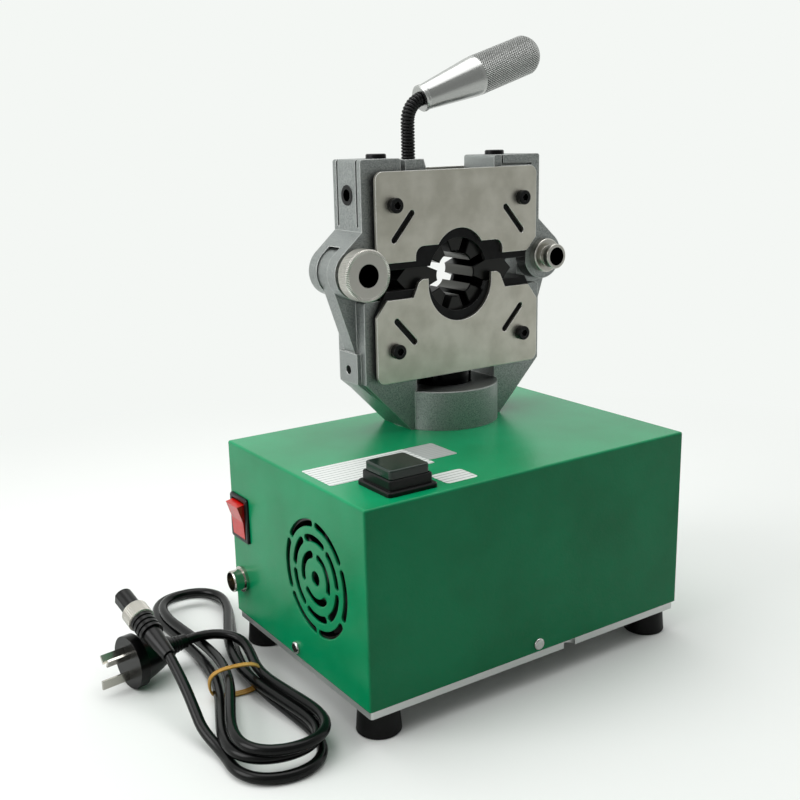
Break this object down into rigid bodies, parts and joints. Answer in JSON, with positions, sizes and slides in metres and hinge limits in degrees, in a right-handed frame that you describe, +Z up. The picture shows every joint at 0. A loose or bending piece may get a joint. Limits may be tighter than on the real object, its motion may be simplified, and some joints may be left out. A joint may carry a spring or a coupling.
{
  "type": "hose crimping machine",
  "caption": "Electric bench hose crimper: sheet-metal hydraulic pump box with a hinged crimping head, segmented dies, a pull-out lock pin and a detached mains cord.",
  "frame": {"origin": "middle of the machine's footprint, without the loose cord, on the surface that it stands on", "axes": "+X along the long side of the pump box, away from the switch panel; +Y from the front to the back; +Z up"},
  "size_m": [0.3871, 0.287, 0.433],
  "materials": {
    "cover_paint": "satin",
    "plate_aluminium": "satin",
    "foot_rubber": "matte",
    "zinc_screw": "satin",
    "black_plastic": "matte",
    "red_plastic": "gloss",
    "nickel": "gloss",
    "contact_brass": "satin",
    "machine_grey": "satin",
    "pipe_steel": "satin",
    "board": "matte",
    "hard_chrome": "gloss",
    "cast_silver": "satin",
    "turned_steel": "satin",
    "black_oxide": "satin",
    "ground_steel": "satin",
    "grip_aluminium": "satin",
    "cord_rubber": "matte",
    "band_rubber": "matte"
  },
  "bodies": {
    "base": {"base_plate": "plate_aluminium", "feet": "foot_rubber", "foot_screws": "zinc_screw", "cover": "cover_paint", "cover_brackets": "zinc_screw", "cover_screws": "zinc_screw", "fan_frame": "black_plastic", "motor": "machine_grey", "pump_block": "plate_aluminium", "oil_tank": "machine_grey", "pressure_pipe": "pipe_steel", "control_board": "board", "rocker_bezel": "black_plastic", "button_housing": "black_plastic", "socket_shell": "nickel", "socket_nut": "zinc_screw", "socket_pins": "contact_brass", "cylinder_barrel": "pipe_steel", "lower_yoke": "cast_silver", "hinge_pin": "turned_steel", "cord_hank": "cord_rubber", "rubber_band": "band_rubber", "cord_connector_lead": "cord_rubber", "cord_plug_lead": "cord_rubber", "plug_body": "black_plastic", "plug_pins": "nickel", "plug_relief": "black_plastic", "connector_body": "black_plastic", "connector_ring": "nickel", "connector_boot": "black_plastic"},
    "ram_group": {"ram": "hard_chrome", "lower_carrier": "black_oxide", "lower_backings": "black_oxide", "lower_front_plate": "ground_steel", "lower_rear_plate": "ground_steel", "lower_plate_screws": "black_oxide", "die_bottom": "black_oxide"},
    "upper_head": {"upper_yoke": "cast_silver", "upper_carrier": "black_oxide", "upper_backings": "black_oxide", "upper_front_plate": "ground_steel", "upper_rear_plate": "ground_steel", "upper_plate_screws": "black_oxide", "top_screws": "black_oxide", "side_bushes": "turned_steel", "gooseneck": "black_oxide", "handle_grip": "grip_aluminium", "die_top": "black_oxide"},
    "die_right_body": {"die_right": "black_oxide"},
    "die_upper_right_body": {"die_upper_right": "black_oxide"},
    "die_upper_left_body": {"die_upper_left": "black_oxide"},
    "die_left_body": {"die_left": "black_oxide"},
    "die_lower_left_body": {"die_lower_left": "black_oxide"},
    "die_lower_right_body": {"die_lower_right": "black_oxide"},
    "lock_pin_body": {"lock_pin": "turned_steel"},
    "rocker_body": {"rocker": "red_plastic"},
    "button_body": {"button_cap": "black_plastic"},
    "fan_body": {"fan_rotor": "black_plastic"}
  },
  "joints": [
    {"name": "upper_yoke_hinge", "type": "hinge", "parent": "base", "child": "upper_head", "pos_m": [-0.054, 0.05, 0.2725], "axis": [0, -1, 0], "range_deg": [0, 85]},
    {"name": "ram_slide", "type": "slide", "parent": "base", "child": "ram_group", "axis": [0, 0, 1], "range_m": [0, 0.014]},
    {"name": "die_upper_right_slide", "type": "slide", "parent": "upper_head", "child": "die_upper_right_body", "axis": [-0.9239, 0, 0.3827], "range_m": [0, 0.00536]},
    {"name": "die_upper_left_slide", "type": "slide", "parent": "upper_head", "child": "die_upper_left_body", "axis": [0.9239, 0, 0.3827], "range_m": [0, 0.00536]},
    {"name": "die_right_slide", "type": "slide", "parent": "ram_group", "child": "die_right_body", "axis": [-0.7071, 0, -0.7071], "range_m": [0, 0.0099]},
    {"name": "die_left_slide", "type": "slide", "parent": "ram_group", "child": "die_left_body", "axis": [0.7071, 0, -0.7071], "range_m": [0, 0.0099]},
    {"name": "die_lower_right_slide", "type": "slide", "parent": "ram_group", "child": "die_lower_right_body", "axis": [-0.9239, 0, -0.3827], "range_m": [0, 0.00536]},
    {"name": "die_lower_left_slide", "type": "slide", "parent": "ram_group", "child": "die_lower_left_body", "axis": [0.9239, 0, -0.3827], "range_m": [0, 0.00536]},
    {"name": "lock_pin_slide", "type": "slide", "parent": "base", "child": "lock_pin_body", "axis": [0, -1, 0], "range_m": [0, 0.045]},
    {"name": "rocker_tilt", "type": "hinge", "parent": "base", "child": "rocker_body", "pos_m": [-0.13, 0.077, 0.0995], "axis": [0, 1, 0], "range_deg": [0, 22]},
    {"name": "button_press", "type": "slide", "parent": "base", "child": "button_body", "axis": [0, 0, -1], "range_m": [0, 0.003], "stiffness_N_per_m": 500, "springref_m": -0.001},
    {"name": "fan_spin", "type": "hinge", "parent": "base", "child": "fan_body", "pos_m": [-0.118, -0.0305, 0.0897], "axis": [1, 0, 0], "continuous": true}
  ],
  "couplings": [
    {"joint": "die_upper_right_slide", "follows": "ram_slide", "ratio": 0.38268},
    {"joint": "die_upper_left_slide", "follows": "ram_slide", "ratio": 0.38268},
    {"joint": "die_right_slide", "follows": "ram_slide", "ratio": 0.70711},
    {"joint": "die_left_slide", "follows": "ram_slide", "ratio": 0.70711},
    {"joint": "die_lower_right_slide", "follows": "ram_slide", "ratio": 0.38268},
    {"joint": "die_lower_left_slide", "follows": "ram_slide", "ratio": 0.38268}
  ]
}
